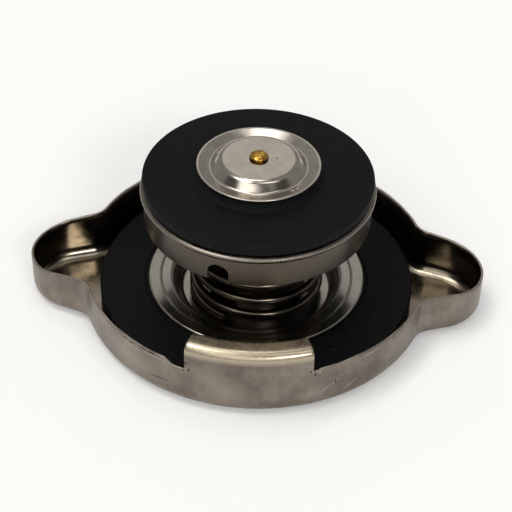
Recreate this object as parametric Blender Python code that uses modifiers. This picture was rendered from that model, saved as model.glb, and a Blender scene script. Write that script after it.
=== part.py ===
"""Radiator cap with two finger ears, two bayonet tabs and a spring-loaded pressure valve.

The cap stands upside down on its crown, as it lies on a bench: the crown is at z = 0 and the
valve points up. The ears lie along X and the bayonet tabs along Y. Everything is in metres.
"""

import bmesh
import bpy
from math import asin, atan2, cos, pi, radians, sin, sqrt
from mathutils import Matrix, Vector

# Clearances
SEAT_GAP = 0.0003          # between pieces that rest on each other
TIGHT_GAP = 0.00015        # under the small riveted heads
RUNNING_GAP = 0.0003       # between pieces that slide past each other
BORE_CLEARANCE = 0.00015   # between a riveted shank and its hole

# Cap shell, one stamping in sheet steel
SHELL_SHEET = 0.0007
SKIRT_RADIUS = 0.0318      # outside of the round skirt
RIM_HEIGHT = 0.0095        # from the crown to the plain rim
CROWN_CORNER_RADIUS = 0.0029
EAR_LENGTH = 0.0098        # from the skirt to an ear's tip
EAR_TIP_RADIUS = 0.0086
EAR_FLARE = radians(19)    # an ear widens by this towards its root
EAR_ROOT_FILLET = 0.0045
EAR_DROP = 0.0010          # the rim falls by this towards an ear's tip
PANEL_INSET = 0.0049       # from the skirt to the sunk round panel of the crown
PANEL_SLOPE = 0.0008
PANEL_DEPTH = 0.00085
TAB_WIDTH = 0.0219         # straight across the tab's foot
TAB_TAPER = 0.97           # width of the tab's top as a share of its foot
TAB_TURN = radians(1)      # the tabs sit this much off square to the ears
TAB_RISE = 0.00425         # from the rim to the tab's top
TAB_DEPTH = 0.0038         # from the skirt's outside to the tab's inner edge
TAB_BEND_RADIUS = 0.0016
TAB_CORNER_RADIUS = 0.0015
NOTCH_WIDTH = 0.0042       # relief cut in the rim on one side of a tab
NOTCH_DEPTH = 0.0010
SMALL_NOTCH_WIDTH = 0.0016  # and on its other side
SMALL_NOTCH_DEPTH = 0.0003

# Rubber ring that seals on top of the filler neck
SEAL_CLEARANCE = 0.0023    # between the ring and the inside of the skirt
SEAL_THICKNESS = 0.0030
SEAL_EDGE = 0.0003
SEAL_SQUEEZE = 0.0002      # the disc's flange presses the ring thinner by this
SQUEEZE_BAND = 0.0004      # the pressed part reaches this far beyond the flange

# Stepped disc that holds the ring and seats the spring
DISC_SHEET = 0.0004
DISC_RIM_WIDTH = 0.0026
DISC_STEP_WIDTH = 0.0022
DISC_STEP_DROP = 0.0002
WELL_MOUTH_RADIUS = 0.0152
WELL_TAPER = 0.0016        # the well's floor is narrower than its mouth by this

# Guide bell inside the spring, and the rivet that holds it on the crown
BELL_SHEET = 0.0006
BELL_LIP = 0.0009
BELL_CORNER_RADIUS = 0.0014
RIVET_RADIUS = 0.0016
RIVET_HEAD_RADIUS = 0.0036
RIVET_HEAD_THICKNESS = 0.00055
RIVET_CLINCH_RADIUS = 0.0029
RIVET_CLINCH_HEIGHT = 0.0010

# Main spring, wound left-handed
SPRING_WIRE = 0.0015
SPRING_CLEARANCE = 0.0013  # between the coils and the side of the well
SPRING_LENGTH = 0.02135    # as the valve rests, over both end coils
SPRING_PITCH = 0.0033
SPRING_END_TURNS = 0.8     # flat turn at each end
END_TURN_LIFT = 1.04       # height that a flat turn climbs, in wire thicknesses
SPRING_START = radians(-116)

# Plate that carries the spring's force into the valve cup
PLATE_SHEET = 0.0006
PLATE_CLEARANCE = 0.00065  # between the plate and the cup's wall
COLLAR_CLEARANCE = 0.0004  # between the collar and the inside of the spring
VALVE_TRAVEL = 0.0060      # until the plate meets the bell

# Valve cup
CUP_SHEET = 0.0006
CUP_RADIUS = 0.02035
CUP_DEPTH = 0.00625
BEAD_RADIUS = 0.00055
BEAD_OVERHANG = 0.0006
CUP_BORE = 0.0032
CLAW_COUNT = 3
CLAW_START = radians(-106)
CLAW_LENGTH = 0.0034
CLAW_WIDTH = 0.0032
SLOT_WIDTH = 0.0038
SLOT_HEIGHT = 0.0036

# Rubber valve gasket with its raised inner lip
GASKET_OVERHANG = 0.00015
GASKET_THICKNESS = 0.0020
GASKET_EDGE = 0.0004
GASKET_BORE = 0.0046
LIP_INNER_RADIUS = 0.0079
LIP_WIDTH = 0.0020
LIP_HEIGHT = 0.0012
LIP_FOOT_CLEARANCE = 0.0004  # the lip's sloping outside ends this far beyond the dish

# Vacuum valve
DISH_SHEET = 0.00035
DISH_OVERHANG = 0.0009     # beyond the gasket's lip
DISH_SLOPE_WIDTH = 0.0016  # from the plateau to the valley
DISH_RISE = 0.0016         # plateau above the valley that seats on the lip
DISH_RIM_RISE = 0.0005
STEM_RADIUS = 0.00115
STEM_HEAD_RADIUS = 0.00175
STEM_HEAD_HEIGHT = 0.00075
STEM_END_RADIUS = 0.0018
STEM_END_HEIGHT = 0.0006
VACUUM_WIRE = 0.0005
VACUUM_SPRING_RADIUS = 0.0042
VACUUM_SPRING_LENGTH = 0.0055
VACUUM_SPRING_TURNS = 5
VACUUM_END_TURNS = 0.8
RETAINER_RADIUS = 0.0047
RETAINER_THICKNESS = 0.0006

# Smoothness of the round pieces
LARGE_STEPS = 52
MEDIUM_STEPS = 36
SMALL_STEPS = 20
CORNER_STEPS = 4
MAIN_COIL_STEPS = 16       # points in each turn of a spring
VACUUM_COIL_STEPS = 10

# Radii that follow from the sizes above
EAR_REACH = SKIRT_RADIUS + EAR_LENGTH
SEAL_RADIUS = SKIRT_RADIUS - SHELL_SHEET - SEAL_CLEARANCE
SEAL_BORE = WELL_MOUTH_RADIUS + DISC_SHEET + SEAT_GAP
PANEL_RADIUS = SKIRT_RADIUS - PANEL_INSET
DISC_STEP_RADIUS = WELL_MOUTH_RADIUS + DISC_STEP_WIDTH
DISC_RADIUS = DISC_STEP_RADIUS + DISC_RIM_WIDTH
WELL_FLOOR_RADIUS = WELL_MOUTH_RADIUS - WELL_TAPER
SPRING_RADIUS = WELL_FLOOR_RADIUS - SPRING_CLEARANCE
COLLAR_RADIUS = SPRING_RADIUS - SPRING_WIRE - COLLAR_CLEARANCE
BELL_LIP_RADIUS = COLLAR_RADIUS - PLATE_SHEET - RUNNING_GAP
BELL_RADIUS = BELL_LIP_RADIUS - BELL_LIP
COLLAR_BORE = BELL_RADIUS + RUNNING_GAP
DISC_BORE = BELL_RADIUS + SEAT_GAP
CROWN_HOLE = RIVET_RADIUS + BORE_CLEARANCE
STEM_HOLE = STEM_RADIUS + BORE_CLEARANCE
CUP_INSIDE = CUP_RADIUS - CUP_SHEET
PLATE_RADIUS = CUP_INSIDE - PLATE_CLEARANCE
GASKET_RADIUS = CUP_RADIUS + GASKET_OVERHANG
LIP_OUTER_RADIUS = LIP_INNER_RADIUS + LIP_WIDTH
DISH_RADIUS = LIP_OUTER_RADIUS + DISH_OVERHANG
DISH_PLATEAU_RADIUS = LIP_INNER_RADIUS - DISH_SLOPE_WIDTH
LIP_FOOT_RADIUS = DISH_RADIUS + LIP_FOOT_CLEARANCE

# Heights that follow from the sizes above, from the crown upwards
TAB_HEIGHT = RIM_HEIGHT + TAB_RISE
FLOOR_TOP = PANEL_DEPTH + SHELL_SHEET
SEAL_BOTTOM = FLOOR_TOP + SEAT_GAP
SEAL_TOP = SEAL_BOTTOM + SEAL_THICKNESS
PRESSED_TOP = SEAL_TOP - SEAL_SQUEEZE
DISC_FLANGE_TOP = PRESSED_TOP + SEAT_GAP + DISC_SHEET
WELL_FLOOR_TOP = FLOOR_TOP + SEAT_GAP + DISC_SHEET
BELL_BOTTOM = FLOOR_TOP + SEAT_GAP
SPRING_BOTTOM = WELL_FLOOR_TOP + SEAT_GAP
SPRING_TOP = SPRING_BOTTOM + SPRING_LENGTH
PLATE_BOTTOM = SPRING_TOP + SEAT_GAP
PLATE_TOP = PLATE_BOTTOM + PLATE_SHEET
BELL_TOP = PLATE_BOTTOM - VALVE_TRAVEL - SEAT_GAP
COLLAR_END = BELL_TOP - BELL_SHEET - SEAT_GAP - PLATE_SHEET
CUP_UNDERSIDE = PLATE_TOP + SEAT_GAP
CUP_TOP = CUP_UNDERSIDE + CUP_SHEET
CUP_BOTTOM = CUP_TOP - CUP_DEPTH
SLOT_TOP = CUP_BOTTOM + SLOT_HEIGHT
CLAW_TIP = PLATE_BOTTOM - SEAT_GAP - CUP_SHEET / 2
GASKET_BOTTOM = CUP_TOP + SEAT_GAP
GASKET_TOP = GASKET_BOTTOM + GASKET_THICKNESS
LIP_TOP = GASKET_TOP + LIP_HEIGHT
DISH_VALLEY = LIP_TOP + SEAT_GAP + DISH_SHEET
DISH_TOP = DISH_VALLEY + DISH_RISE
STEM_HEAD_BOTTOM = DISH_TOP + TIGHT_GAP
VACUUM_SPRING_TOP = CUP_UNDERSIDE - SEAT_GAP
RETAINER_TOP = VACUUM_SPRING_TOP - VACUUM_SPRING_LENGTH - SEAT_GAP
RETAINER_BOTTOM = RETAINER_TOP - RETAINER_THICKNESS


def clear_scene():
    for old in list(bpy.data.objects):
        bpy.data.objects.remove(old, do_unlink=True)


def make_collection(name):
    collection = bpy.data.collections.new(name)
    bpy.context.scene.collection.children.link(collection)
    return collection


def make_material(name, colour, metallic, roughness):
    material = bpy.data.materials.new(name)
    material.use_nodes = True
    shader = material.node_tree.nodes["Principled BSDF"]
    shader.inputs["Base Color"].default_value = (*colour, 1.0)
    shader.inputs["Metallic"].default_value = metallic
    shader.inputs["Roughness"].default_value = roughness
    return material


def add_object(name, data, material, collection):
    piece = bpy.data.objects.new(name, data)
    if data.materials:
        data.materials.clear()
    data.materials.append(material)
    collection.objects.link(piece)
    return piece


def arc(centre, radius, start, end, steps):
    """Points of an arc, both ends included."""
    points = []
    for k in range(steps + 1):
        angle = start + (end - start) * k / steps
        points.append((centre[0] + radius * cos(angle), centre[1] + radius * sin(angle)))
    return points


def offset_line(line, distance):
    """The open line moved sideways to its left, with mitred corners."""
    moved = []
    for k, (x, z) in enumerate(line):
        before = Vector(line[k]) - Vector(line[k - 1]) if k > 0 else None
        after = Vector(line[k + 1]) - Vector(line[k]) if k < len(line) - 1 else None
        ways = [way.normalized() for way in (before, after) if way is not None]
        normals = [Vector((-way.y, way.x)) for way in ways]
        mitre = sum(normals, Vector((0, 0))).normalized()
        reach = distance / mitre.dot(normals[0])
        moved.append((x + mitre.x * reach, z + mitre.y * reach))
    return moved


def sheet_section(line, thickness):
    """Closed section of a sheet: the line is one face, and the metal lies to its left."""
    return line + offset_line(line, thickness)[::-1]


def clockwise(section):
    """The section in the order that gives a turned shape outward faces."""
    area = 0.0
    for (x0, z0), (x1, z1) in zip(section, section[1:] + section[:1]):
        area += x0 * z1 - x1 * z0
    return section[::-1] if area > 0 else section


def turned(name, section, steps, material, collection, closed=True):
    """A section in the XZ plane turned about the Z axis with a Screw modifier."""
    section = clockwise(section) if closed else section
    count = len(section)
    edges = [(k, (k + 1) % count) for k in range(count if closed else count - 1)]
    mesh = bpy.data.meshes.new(name)
    mesh.from_pydata([(x, 0.0, z) for x, z in section], edges, [])
    piece = add_object(name, mesh, material, collection)
    screw = piece.modifiers.new("turn", "SCREW")
    screw.axis = "Z"
    screw.angle = 2 * pi
    screw.steps = steps
    screw.render_steps = steps
    screw.use_merge_vertices = True
    screw.merge_threshold = 0.00001
    screw.use_smooth_shade = True
    return piece


def ear_quadrant():
    """Outline of a quarter of the shell, from an ear's tip to the round skirt."""
    tip_centre = (EAR_REACH - EAR_TIP_RADIUS, 0.0)
    flank_start = pi / 2 - EAR_FLARE
    points = arc(tip_centre, EAR_TIP_RADIUS, 0.0, flank_start, 8)
    start = Vector(points[-1])
    along = Vector((-cos(EAR_FLARE), sin(EAR_FLARE)))
    outward = Vector((sin(EAR_FLARE), cos(EAR_FLARE)))
    # The fillet's centre lies one fillet radius off the flank and off the skirt.
    base = start + outward * EAR_ROOT_FILLET
    reach = SKIRT_RADIUS + EAR_ROOT_FILLET
    half = base.dot(along)
    run = -half - sqrt(half * half - base.dot(base) + reach * reach)
    centre = base + along * run
    first = atan2(-outward.y, -outward.x)
    last = atan2(-centre.y, -centre.x)
    fillet = arc(centre, EAR_ROOT_FILLET, first, last, 5)
    return points + fillet, atan2(centre.y, centre.x)


def skirt_points(start):
    """Points of the round skirt from one ear to the other, with the foot of a tab between."""
    middle = pi / 2 + TAB_TURN
    half = asin(TAB_WIDTH / 2 / SKIRT_RADIUS)
    first = middle - half
    last = middle + half
    notch = NOTCH_WIDTH / SKIRT_RADIUS
    small = SMALL_NOTCH_WIDTH / SKIRT_RADIUS
    points = []
    for k in range(1, 8):
        points.append((start + (first - notch - start) * k / 7, 0.0, False))
    for share, dip in ((0.8, 0.35), (0.55, 0.9), (0.3, 1.0)):
        points.append((first - notch * share, NOTCH_DEPTH * dip, False))
    for k in range(11):
        dip = NOTCH_DEPTH + (SMALL_NOTCH_DEPTH - NOTCH_DEPTH) * k / 10
        points.append((first + 2 * half * k / 10, dip, True))
    points.append((last + small * 0.5, SMALL_NOTCH_DEPTH * 0.8, False))
    end = pi - start
    for k in range(8):
        points.append((last + small + (end - last - small) * k / 8, 0.0, False))
    row = []
    for angle, dip, on_tab in points:
        place = (SKIRT_RADIUS * cos(angle), SKIRT_RADIUS * sin(angle))
        row.append((*place, RIM_HEIGHT - dip, on_tab))
    return row


def ear_rim(x):
    """Height of an ear's rim, which falls towards the tip."""
    share = (abs(x) - SKIRT_RADIUS) / EAR_LENGTH
    share = min(max(share, 0.0), 1.0)
    return RIM_HEIGHT - EAR_DROP * share * share * (3 - 2 * share)


def shell_outline():
    """Outline points and rim heights, and which of them carry a tab."""
    ear, root_angle = ear_quadrant()
    right = [(x, y, ear_rim(x), False) for x, y in ear]
    left = [(-x, y, ear_rim(x), False) for x, y in ear[:0:-1]]
    half = right + skirt_points(root_angle) + left
    return half + [(-x, -y, z, on_tab) for x, y, z, on_tab in half]


def inset_outline(points, distance):
    """The closed outline moved inwards, with mitred corners."""
    moved = []
    count = len(points)
    for k in range(count):
        here = Vector(points[k])
        before = (here - Vector(points[k - 1])).normalized()
        after = (Vector(points[(k + 1) % count]) - here).normalized()
        mitre = (Vector((-before.y, before.x)) + Vector((-after.y, after.x))).normalized()
        reach = distance / mitre.dot(Vector((-before.y, before.x)))
        moved.append((here.x + mitre.x * reach, here.y + mitre.y * reach))
    return moved


def join_rows(bm, low, high, closed):
    """Faces between two rows of vertices that run anticlockwise, the low row below."""
    last = len(low) if closed else len(low) - 1
    for k in range(last):
        n = (k + 1) % len(low)
        bm.faces.new((low[k], low[n], high[n], high[k]))


def tab_rows():
    """Radius, height and width share of each row of a tab, from the rim to its inner edge."""
    bend_centre = (SKIRT_RADIUS - TAB_BEND_RADIUS, TAB_HEIGHT - TAB_BEND_RADIUS)
    rows = []
    for k, (r, z) in enumerate(arc(bend_centre, TAB_BEND_RADIUS, 0.0, pi / 2, 4)):
        rows.append((r, z, 1.0 - (1.0 - TAB_TAPER) * k / 4))
    inner = SKIRT_RADIUS - TAB_DEPTH
    for k in range(4):
        turn = pi / 2 * k / 3
        radius = inner + TAB_CORNER_RADIUS * (1 - sin(turn))
        share = TAB_TAPER - TAB_CORNER_RADIUS * (1 - cos(turn)) / (TAB_WIDTH / 2)
        rows.append((radius, TAB_HEIGHT, share))
    return rows


def raise_tab(bm, run):
    """Rows of a tab from a run of rim points: up, over the bend and inwards."""
    middle = run[len(run) // 2].co
    centre_angle = atan2(middle.y, middle.x)
    offsets = []
    for vert in run:
        angle = atan2(vert.co.y, vert.co.x) - centre_angle
        offsets.append((angle + pi) % (2 * pi) - pi)
    row = run
    for radius, height, share in tab_rows():
        next_row = []
        for offset in offsets:
            angle = centre_angle + offset * share
            next_row.append(bm.verts.new((radius * cos(angle), radius * sin(angle), height)))
        join_rows(bm, row, next_row, False)
        row = next_row


def build_shell(material, collection):
    """Open outer skin of the stamping, thickened inwards."""
    outline = shell_outline()
    plan = [(x, y) for x, y, _, _ in outline]
    count = len(plan)
    bm = bmesh.new()
    rows = [[bm.verts.new((x, y, z)) for x, y, z, _ in outline]]
    for inset, height in arc((CROWN_CORNER_RADIUS, CROWN_CORNER_RADIUS), CROWN_CORNER_RADIUS,
                             pi, 1.5 * pi, CORNER_STEPS):
        ring = inset_outline(plan, inset) if inset > 1e-7 else plan
        rows.append([bm.verts.new((x, y, height)) for x, y in ring])
    angles = [atan2(y, x) for x, y in plan]
    loops = [(PANEL_RADIUS, 0.0), (PANEL_RADIUS - PANEL_SLOPE, PANEL_DEPTH)]
    loops.append((CROWN_HOLE, PANEL_DEPTH))
    for radius, height in loops:
        rows.append([bm.verts.new((radius * cos(a), radius * sin(a), height)) for a in angles])
    for high, low in zip(rows, rows[1:]):
        join_rows(bm, low, high, True)
    rim = rows[0]
    flags = [on_tab for _, _, _, on_tab in outline]
    for start in [k for k in range(count) if flags[k] and not flags[k - 1]]:
        length = 0
        while flags[(start + length) % count]:
            length += 1
        raise_tab(bm, [rim[(start + k) % count] for k in range(length)])
    mesh = bpy.data.meshes.new("cap_shell")
    bm.to_mesh(mesh)
    bm.free()
    mesh.shade_smooth()
    mesh.set_sharp_from_angle(angle=radians(35))
    shell = add_object("cap_shell", mesh, material, collection)
    wall = shell.modifiers.new("sheet", "SOLIDIFY")
    wall.thickness = SHELL_SHEET
    wall.offset = -1.0
    wall.use_even_offset = True
    wall.use_quality_normals = True
    return shell


def build_seal(material, collection):
    """Rubber ring with softened edges, pressed a little thinner where the disc lies on it."""
    e = SEAL_EDGE
    pressed = DISC_RADIUS + SQUEEZE_BAND
    section = [
        (SEAL_RADIUS - e, SEAL_TOP), (SEAL_RADIUS, SEAL_TOP - e),
        (SEAL_RADIUS, SEAL_BOTTOM + e), (SEAL_RADIUS - e, SEAL_BOTTOM),
        (SEAL_BORE, SEAL_BOTTOM), (SEAL_BORE, PRESSED_TOP), (pressed, PRESSED_TOP),
        (pressed + SEAL_SQUEEZE, SEAL_TOP),
    ]
    return turned("neck_seal_ring", section, LARGE_STEPS, material, collection)


def build_disc(material, collection):
    """Stepped disc: a flange over the seal ring, a well through it and a floor on the crown."""
    step_top = DISC_FLANGE_TOP - DISC_STEP_DROP
    wall = Vector((WELL_FLOOR_RADIUS - WELL_MOUTH_RADIUS, WELL_FLOOR_TOP - step_top)).normalized()
    ease = 0.0005
    line = [
        (DISC_RADIUS, DISC_FLANGE_TOP),
        (DISC_STEP_RADIUS + ease, DISC_FLANGE_TOP),
        (DISC_STEP_RADIUS, step_top),
        (WELL_MOUTH_RADIUS + ease, step_top),
        (WELL_MOUTH_RADIUS + wall.x * ease, step_top + wall.y * ease),
        (WELL_FLOOR_RADIUS - wall.x * ease, WELL_FLOOR_TOP - wall.y * ease),
        (WELL_FLOOR_RADIUS - ease, WELL_FLOOR_TOP),
        (DISC_BORE, WELL_FLOOR_TOP),
    ]
    section = sheet_section(line, DISC_SHEET)
    return turned("spring_seat_disc", section, LARGE_STEPS, material, collection)


def build_bell(material, collection):
    """Drawn guide cup, riveted at its bottom, with an out-turned lip at its open end."""
    corner = (BELL_RADIUS - BELL_CORNER_RADIUS, BELL_BOTTOM + BELL_CORNER_RADIUS)
    neck_z = BELL_TOP - BELL_SHEET
    line = [(CROWN_HOLE, BELL_BOTTOM)]
    line += arc(corner, BELL_CORNER_RADIUS, -pi / 2, 0.0, 3)
    line += [(BELL_RADIUS, neck_z), (BELL_LIP_RADIUS, neck_z)]
    section = sheet_section(line, BELL_SHEET)
    return turned("guide_bell", section, MEDIUM_STEPS, material, collection)


def build_rivet(material, collection):
    """Crown rivet: a flat head in the crown's sunk panel and a clinched head inside the bell."""
    head_top = PANEL_DEPTH - TIGHT_GAP
    head_bottom = head_top - RIVET_HEAD_THICKNESS
    clinch_bottom = BELL_BOTTOM + BELL_SHEET + TIGHT_GAP
    clinch_top = clinch_bottom + RIVET_CLINCH_HEIGHT
    section = [
        (0.0, clinch_top), (RIVET_CLINCH_RADIUS * 0.6, clinch_top - RIVET_CLINCH_HEIGHT * 0.12),
        (RIVET_CLINCH_RADIUS, clinch_top - RIVET_CLINCH_HEIGHT * 0.6),
        (RIVET_CLINCH_RADIUS, clinch_bottom), (RIVET_RADIUS, clinch_bottom),
        (RIVET_RADIUS, head_top), (RIVET_HEAD_RADIUS, head_top),
        (RIVET_HEAD_RADIUS, head_bottom), (0.0, head_bottom),
    ]
    return turned("crown_rivet", section, SMALL_STEPS, material, collection, closed=False)


def coil(name, bottom, top, radius, wire, turns, end_turns, start, hand, per_turn, material,
         collection):
    """A compression spring as a swept wire: flat end turns and an even pitch between them.

    bottom and top are the heights of the wire's centre at the two ends."""
    count = round(turns * per_turn)
    curve = bpy.data.curves.new(name, "CURVE")
    curve.dimensions = "3D"
    curve.bevel_depth = wire / 2
    curve.bevel_resolution = 2
    curve.use_fill_caps = True
    spline = curve.splines.new("POLY")
    spline.points.add(count)
    lift = wire * END_TURN_LIFT
    for k in range(count + 1):
        turn = turns * k / count
        angle = start + hand * 2 * pi * turn
        low = min(turn, end_turns) / end_turns * lift
        high = min(turns - turn, end_turns) / end_turns * lift
        share = (turn - end_turns) / (turns - 2 * end_turns)
        share = min(max(share, 0.0), 1.0)
        height = bottom + lift + (top - bottom - 2 * lift) * share
        if turn < end_turns:
            height = bottom + low
        elif turns - turn < end_turns:
            height = top - high
        spline.points[k].co = (radius * cos(angle), radius * sin(angle), height, 1.0)
    return add_object(name, curve, material, collection)


def build_main_spring(material, collection):
    bottom = SPRING_BOTTOM + SPRING_WIRE / 2
    top = SPRING_TOP - SPRING_WIRE / 2
    lift = SPRING_WIRE * END_TURN_LIFT
    turns = (top - bottom - 2 * lift) / SPRING_PITCH + 2 * SPRING_END_TURNS
    radius = SPRING_RADIUS - SPRING_WIRE / 2
    return coil("main_spring", bottom, top, radius, SPRING_WIRE, turns, SPRING_END_TURNS,
                SPRING_START, -1, MAIN_COIL_STEPS, material, collection)


def build_vacuum_spring(material, collection):
    bottom = RETAINER_TOP + SEAT_GAP + VACUUM_WIRE / 2
    top = VACUUM_SPRING_TOP - VACUUM_WIRE / 2
    radius = VACUUM_SPRING_RADIUS - VACUUM_WIRE / 2
    return coil("vacuum_spring", bottom, top, radius, VACUUM_WIRE, VACUUM_SPRING_TURNS,
                VACUUM_END_TURNS, 0.0, -1, VACUUM_COIL_STEPS, material, collection)


def build_plate(material, collection):
    """Flanged collar: the flange takes the spring, the collar's rolled end hooks on the bell."""
    shoulder = 0.0006
    line = [
        (PLATE_RADIUS, PLATE_BOTTOM), (COLLAR_RADIUS + shoulder, PLATE_BOTTOM),
        (COLLAR_RADIUS, PLATE_BOTTOM - shoulder), (COLLAR_RADIUS, COLLAR_END),
        (COLLAR_BORE, COLLAR_END),
    ]
    section = line + offset_line(line, -PLATE_SHEET)[::-1]
    return turned("spring_plate", section, MEDIUM_STEPS, material, collection)


def arch_cutter(collection):
    """Cutter for a slot in the cup's wall: straight sides, a round top and an open foot."""
    radius = SLOT_WIDTH / 2
    foot = CUP_BOTTOM - CUP_SHEET
    outline = [(radius, foot)]
    outline += arc((0.0, SLOT_TOP - radius), radius, 0.0, pi, 10)
    outline += [(-radius, foot)]
    bm = bmesh.new()
    verts = [bm.verts.new((CUP_RADIUS - 3 * CUP_SHEET, y, z)) for y, z in outline]
    face = bm.faces.new(verts)
    grown = bmesh.ops.extrude_face_region(bm, geom=[face])["geom"]
    far = [item for item in grown if isinstance(item, bmesh.types.BMVert)]
    bmesh.ops.translate(bm, verts=far, vec=(5 * CUP_SHEET, 0.0, 0.0))
    bmesh.ops.recalc_face_normals(bm, faces=bm.faces)
    mesh = bpy.data.meshes.new("slot_cutter")
    bm.to_mesh(mesh)
    bm.free()
    return mesh


def claw_mesh():
    """A tongue lanced from the wall at the slot's top and folded in under the plate."""
    bm = bmesh.new()
    bmesh.ops.create_cube(bm, size=1.0)
    bmesh.ops.scale(bm, vec=(CLAW_LENGTH, CLAW_WIDTH, CUP_SHEET), verts=bm.verts)
    bmesh.ops.translate(bm, vec=(-CLAW_LENGTH / 2, 0.0, 0.0), verts=bm.verts)
    tip = []
    for edge in bm.edges:
        a, b = (vert.co for vert in edge.verts)
        if max(a.x, b.x) < -CLAW_LENGTH / 2 and abs(a.y - b.y) < 1e-6:
            tip.append(edge)
    bmesh.ops.bevel(bm, geom=tip, offset=CLAW_WIDTH * 0.35, segments=3, profile=0.5,
                    affect="EDGES", material=-1)
    root = Vector((CUP_RADIUS - CUP_SHEET / 2, 0.0, SLOT_TOP + CUP_SHEET * 0.2))
    tilt = asin((CLAW_TIP - root.z) / CLAW_LENGTH)
    bmesh.ops.rotate(bm, verts=bm.verts, matrix=Matrix.Rotation(tilt, 3, "Y"))
    bmesh.ops.translate(bm, vec=root, verts=bm.verts)
    bmesh.ops.recalc_face_normals(bm, faces=bm.faces)
    mesh = bpy.data.meshes.new("claw")
    bm.to_mesh(mesh)
    bm.free()
    return mesh


def hide_tool(piece):
    piece.hide_render = True
    piece.display_type = "WIRE"


def build_cup(material, collection, tools):
    """Valve cup: a flat web, a rolled bead under the gasket and a wall with three claws."""
    bead_centre = (CUP_RADIUS - BEAD_RADIUS + BEAD_OVERHANG, CUP_TOP - BEAD_RADIUS)
    outer = [(CUP_BORE, CUP_TOP)]
    outer += arc(bead_centre, BEAD_RADIUS, pi / 2, -pi / 3, 6)
    outer += [(CUP_RADIUS, CUP_TOP - 2.2 * BEAD_RADIUS), (CUP_RADIUS, CUP_BOTTOM)]
    inner = [(CUP_INSIDE, CUP_BOTTOM), (CUP_INSIDE, CUP_UNDERSIDE - CUP_SHEET / 2),
             (CUP_INSIDE - CUP_SHEET / 2, CUP_UNDERSIDE), (CUP_BORE, CUP_UNDERSIDE)]
    cup = turned("valve_cup", outer + inner, LARGE_STEPS, material, collection)
    slot = arch_cutter(tools)
    claw = claw_mesh()
    for k in range(CLAW_COUNT):
        turn = CLAW_START + 2 * pi * k / CLAW_COUNT
        for mesh, kind in ((slot, "DIFFERENCE"), (claw, "UNION")):
            tool = bpy.data.objects.new(f"{mesh.name}_{k + 1}", mesh)
            tool.rotation_euler = (0.0, 0.0, turn)
            tools.objects.link(tool)
            hide_tool(tool)
            cut = cup.modifiers.new(tool.name, "BOOLEAN")
            cut.operation = kind
            cut.object = tool
    return cup


def build_gasket(material, collection):
    """Flat rubber gasket with a raised, tapered lip that the vacuum dish seats on."""
    e = GASKET_EDGE
    section = [
        (GASKET_RADIUS - e, GASKET_TOP), (GASKET_RADIUS - e * 0.3, GASKET_TOP - e * 0.3),
        (GASKET_RADIUS, GASKET_TOP - e), (GASKET_RADIUS, GASKET_BOTTOM + e),
        (GASKET_RADIUS - e, GASKET_BOTTOM), (GASKET_BORE, GASKET_BOTTOM),
        (GASKET_BORE, GASKET_TOP), (LIP_INNER_RADIUS, GASKET_TOP),
        (LIP_INNER_RADIUS, LIP_TOP), (LIP_OUTER_RADIUS - e, LIP_TOP),
        (LIP_OUTER_RADIUS, LIP_TOP - e), (LIP_FOOT_RADIUS, GASKET_TOP),
    ]
    return turned("valve_gasket", section, LARGE_STEPS, material, collection)


def build_dish(material, collection):
    """Vacuum valve dish: a raised flat middle, a valley on the gasket's lip and a flared rim."""
    valley_in = LIP_INNER_RADIUS + 0.1 * LIP_WIDTH
    valley_out = LIP_OUTER_RADIUS - 0.2 * LIP_WIDTH
    shoulder = 0.0006
    line = [
        (STEM_HOLE, DISH_TOP),
        (DISH_PLATEAU_RADIUS - shoulder, DISH_TOP),
        (DISH_PLATEAU_RADIUS + shoulder * 0.6, DISH_TOP - shoulder * 0.5),
        (valley_in, DISH_VALLEY),
        (valley_out, DISH_VALLEY),
        (DISH_RADIUS, DISH_VALLEY + DISH_RIM_RISE),
    ]
    section = line + offset_line(line, -DISH_SHEET)[::-1]
    return turned("vacuum_dish", section, MEDIUM_STEPS, material, collection)


def build_stem(material, collection):
    """Brass stem with a domed head on the dish and an upset end under the retainer."""
    dome = []
    for k in range(4):
        turn = pi / 2 * k / 4
        dome.append((STEM_HEAD_RADIUS * sin(turn), STEM_HEAD_BOTTOM + STEM_HEAD_HEIGHT * cos(turn)))
    end_top = RETAINER_BOTTOM - TIGHT_GAP
    section = dome + [
        (STEM_HEAD_RADIUS, STEM_HEAD_BOTTOM), (STEM_RADIUS, STEM_HEAD_BOTTOM),
        (STEM_RADIUS, end_top), (STEM_END_RADIUS, end_top),
        (STEM_END_RADIUS, end_top - STEM_END_HEIGHT), (0.0, end_top - STEM_END_HEIGHT),
    ]
    return turned("vacuum_stem", section, SMALL_STEPS, material, collection, closed=False)


def build_retainer(material, collection):
    """Flat washer that holds the vacuum spring on the stem."""
    section = [(RETAINER_RADIUS, RETAINER_TOP), (RETAINER_RADIUS, RETAINER_BOTTOM),
               (STEM_HOLE, RETAINER_BOTTOM), (STEM_HOLE, RETAINER_TOP)]
    return turned("vacuum_retainer", section, SMALL_STEPS, material, collection)


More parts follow.
